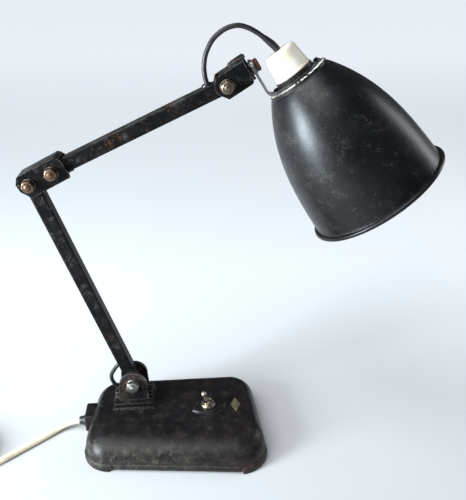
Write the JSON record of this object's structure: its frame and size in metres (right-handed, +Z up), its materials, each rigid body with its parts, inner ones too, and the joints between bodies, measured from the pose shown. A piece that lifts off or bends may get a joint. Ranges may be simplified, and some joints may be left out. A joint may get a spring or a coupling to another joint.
{
  "type": "architect desk lamp",
  "caption": "Weighted bench lamp with two square-tube arms on friction pivots, an elbow link, a swivelling bell shade and a toggle switch in its cast base.",
  "frame": {"origin": "centre of the cast base's underside, on the desk", "axes": "+Z up from the desk, +X along the base towards the shade's side, +Y away from the side that carries the pivot nuts"},
  "size_m": [0.6031, 0.1695, 0.4517],
  "materials": {
    "base_casting": "black textured paint, rubbed at the edges and rusted at the feet",
    "bottom_plate": "dull plated sheet",
    "felt_pad": "worn felt",
    "bottom_plate_screws": "dull plated",
    "lozenge_plate": "tarnished brass",
    "base_bracket": "gloss black, rust round the nut",
    "bracket_bolts": "black",
    "base_pivot_bolt": "dull bright steel",
    "base_pivot_nut": "dull bright steel",
    "base_friction_washers": "fibre",
    "switch_body": "brown moulding",
    "switch_bush": "tarnished",
    "switch_ring_nut": "worn nickel over brass",
    "toggle_lever": "worn nickel over brass",
    "terminal_block": "cream moulding",
    "cord_clamp": "plated",
    "clamp_screws": "plated",
    "earth_screw": "dull",
    "base_leads": "matt",
    "cord_gland": "matt",
    "base_grommet": "matt",
    "base_flex_loop": "satin",
    "lower_arm_tube": "satin black, speckled wear",
    "lower_arm_cores": "matt",
    "elbow_channel": "satin black, edges worn to metal",
    "elbow_bolts": "bronze-brown patina",
    "elbow_nuts": "bronze-brown patina",
    "elbow_washers": "bronze-brown patina",
    "elbow_friction_washers": "fibre",
    "elbow_cores": "matt",
    "upper_arm_tube": "satin black, speckled wear",
    "upper_arm_cores": "matt",
    "arm_grommet": "matt",
    "head_flex_arm": "satin",
    "head_flex_holder": "satin",
    "head_flex_sleeve": "satin",
    "knuckle_channel": "satin black, edges worn to metal",
    "swivel_bracket": "satin black, rubbed grey",
    "knuckle_bolt": "brown patina",
    "knuckle_nut": "brown patina",
    "knuckle_washer": "brown patina",
    "knuckle_friction_washers": "fibre",
    "swivel_bolt": "rusted",
    "swivel_nut": "rusted",
    "swivel_washers": "dark spring steel",
    "shade_strap": "worn bright steel",
    "strap_screws": "black",
    "holder_body": "cream moulding",
    "upper_shade_ring": "brown moulding",
    "holder_barrel": "cream moulding",
    "contact_block": "cream moulding",
    "lower_shade_ring": "cream moulding",
    "lamp_shade": "satin black enamel outside, white inside",
    "bulb_cap": "bright",
    "bulb_glass": "pearl",
    "mains_flex": "aged cream, matt",
    "mains_coil": "aged cream, matt",
    "mains_tail": "aged cream, matt",
    "plug_body": "aged white",
    "plug_pins": "bright"
  },
  "bodies": {
    "base": {"base_casting": "base_casting", "bottom_plate": "bottom_plate", "felt_pad": "felt_pad", "bottom_plate_screws": "bottom_plate_screws", "lozenge_plate": "lozenge_plate", "base_bracket": "base_bracket", "bracket_bolts": "bracket_bolts", "base_pivot_bolt": "base_pivot_bolt", "base_pivot_nut": "base_pivot_nut", "base_friction_washers": "base_friction_washers", "switch_body": "switch_body", "switch_bush": "switch_bush", "switch_ring_nut": "switch_ring_nut", "terminal_block": "terminal_block", "cord_clamp": "cord_clamp", "clamp_screws": "clamp_screws", "earth_screw": "earth_screw", "base_leads": "base_leads", "cord_gland": "cord_gland", "base_grommet": "base_grommet", "base_flex_loop": "base_flex_loop", "mains_flex": "mains_flex", "mains_coil": "mains_coil", "mains_tail": "mains_tail", "plug_body": "plug_body", "plug_pins": "plug_pins"},
    "lower_arm": {"lower_arm_tube": "lower_arm_tube", "lower_arm_cores": "lower_arm_cores"},
    "elbow_link": {"elbow_channel": "elbow_channel", "elbow_bolts": "elbow_bolts", "elbow_nuts": "elbow_nuts", "elbow_washers": "elbow_washers", "elbow_friction_washers": "elbow_friction_washers", "elbow_cores": "elbow_cores"},
    "upper_arm": {"upper_arm_tube": "upper_arm_tube", "upper_arm_cores": "upper_arm_cores", "arm_grommet": "arm_grommet", "head_flex_arm": "head_flex_arm"},
    "head_knuckle": {"knuckle_channel": "knuckle_channel", "swivel_bracket": "swivel_bracket", "knuckle_bolt": "knuckle_bolt", "knuckle_nut": "knuckle_nut", "knuckle_washer": "knuckle_washer", "knuckle_friction_washers": "knuckle_friction_washers", "swivel_bolt": "swivel_bolt", "swivel_nut": "swivel_nut", "swivel_washers": "swivel_washers"},
    "shade": {"shade_strap": "shade_strap", "strap_screws": "strap_screws", "holder_body": "holder_body", "upper_shade_ring": "upper_shade_ring", "holder_barrel": "holder_barrel", "contact_block": "contact_block", "lower_shade_ring": "lower_shade_ring", "lamp_shade": "lamp_shade", "bulb_cap": "bulb_cap", "bulb_glass": "bulb_glass", "head_flex_holder": "head_flex_holder", "head_flex_sleeve": "head_flex_sleeve"},
    "switch_lever": {"toggle_lever": "toggle_lever"}
  },
  "joints": [
    {"name": "base_hinge", "type": "hinge", "parent": "base", "child": "lower_arm", "pos_m": [-0.0473, 0.029, 0.0624], "axis": [0, -1, 0], "range_deg": [-30, 35], "deforming": ["base_flex_loop"]},
    {"name": "lower_elbow", "type": "hinge", "parent": "lower_arm", "child": "elbow_link", "pos_m": [-0.12874, 0.029, 0.30721], "axis": [0, -1, 0], "range_deg": [-30, 35], "deforming": ["elbow_cores"]},
    {"name": "upper_elbow", "type": "hinge", "parent": "elbow_link", "child": "upper_arm", "pos_m": [-0.10589, 0.029, 0.31875], "axis": [0, 1, 0], "range_deg": [-2, 40]},
    {"name": "head_tilt", "type": "hinge", "parent": "upper_arm", "child": "head_knuckle", "pos_m": [0.06328, 0.029, 0.39728], "axis": [0, 1, 0], "range_deg": [-25, 45], "deforming": ["head_flex_arm"]},
    {"name": "head_swivel", "type": "hinge", "parent": "head_knuckle", "child": "shade", "pos_m": [0.06328, 0.029, 0.39728], "axis": [0.848, 0, 0.5299], "range_deg": [-75, 75], "deforming": ["head_flex_holder", "head_flex_sleeve"]},
    {"name": "switch_toggle", "type": "hinge", "parent": "base", "child": "switch_lever", "pos_m": [0.0385, 0.005, 0.0388], "axis": [0, 1, 0], "range_deg": [0, 38]}
  ]
}
